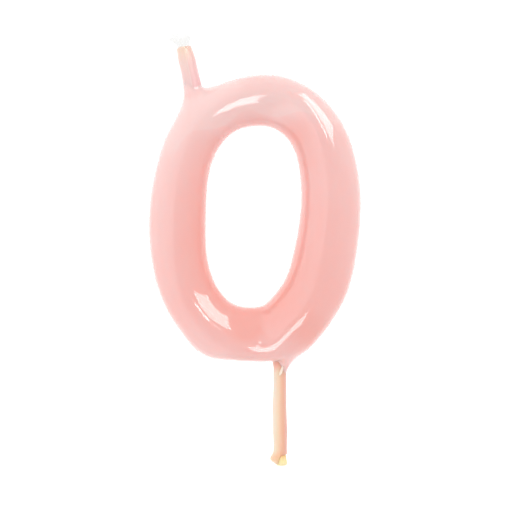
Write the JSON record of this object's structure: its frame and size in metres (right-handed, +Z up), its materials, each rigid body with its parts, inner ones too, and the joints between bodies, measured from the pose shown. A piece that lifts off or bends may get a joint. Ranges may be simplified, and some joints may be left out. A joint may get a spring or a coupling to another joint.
{
  "type": "number birthday candle",
  "caption": "Hand-dipped pink wax birthday candle shaped as the digit zero, with a plaited cotton wick at the upper left and a thin wooden stick below that pushes into a cake.",
  "frame": {"origin": "centre of the stick's flat lower cut end", "axes": "+Z up along the stick, -Y towards the viewer who reads the digit, +X to that viewer's right"},
  "size_m": [0.0509, 0.015, 0.106],
  "materials": {
    "pink_wax": "glossy dipped wax, slightly translucent",
    "thin_wax": "thin glossy wax over cream wick and stick",
    "pale_wax": "plain wax",
    "cotton": "plaited off-white cotton",
    "wood": "pale bare wood"
  },
  "bodies": {
    "root": {"ring_coat": "pink_wax", "core_rope": "pale_wax", "wick_sleeve": "thin_wax", "stick_sleeve": "thin_wax", "support_stick": "wood", "wick_strand_1": "cotton", "wick_strand_2": "cotton", "wick_strand_3": "cotton"}
  },
  "joints": []
}
